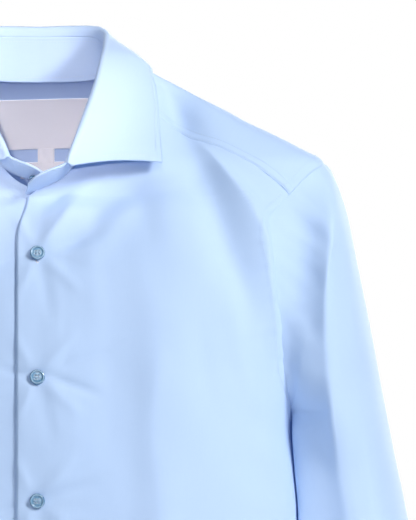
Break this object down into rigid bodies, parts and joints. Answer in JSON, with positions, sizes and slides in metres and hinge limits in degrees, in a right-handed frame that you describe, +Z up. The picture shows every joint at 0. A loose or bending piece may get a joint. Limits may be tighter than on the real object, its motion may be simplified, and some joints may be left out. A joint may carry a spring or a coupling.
{
  "type": "long sleeve dress shirt",
  "caption": "Long sleeve button-front dress shirt, filled out and hollow, with an open spread collar, back yoke, curved hem and buttoned cuffs.",
  "frame": {"origin": "middle of the neck opening, level with the place where the shoulder line meets the collar", "axes": "+Z up along the body, -Y to the front, +X to the wearer's left"},
  "size_m": [0.6944, 0.2481, 0.7986],
  "materials": {
    "cotton": "fine light blue cotton twill with a soft sheen",
    "satin_label": "white woven satin tape",
    "pearl_button": "pearly blue-grey polyester button"
  },
  "bodies": {
    "root": {"front_left": "cotton", "front_right": "cotton", "back": "cotton", "yoke": "cotton", "collar_band": "cotton", "collar_leaf": "cotton", "sleeve_left": "cotton", "sleeve_right": "cotton", "cuff_left": "cotton", "cuff_right": "cotton", "sleeve_placket_left": "cotton", "sleeve_placket_right": "cotton", "neck_label": "satin_label", "size_tab": "satin_label", "care_strip": "satin_label", "front_button_1": "pearl_button", "front_button_2": "pearl_button", "front_button_3": "pearl_button", "front_button_4": "pearl_button", "front_button_5": "pearl_button", "front_button_6": "pearl_button", "collar_button": "pearl_button", "cuff_button_left": "pearl_button", "cuff_button_right": "pearl_button"}
  },
  "joints": []
}
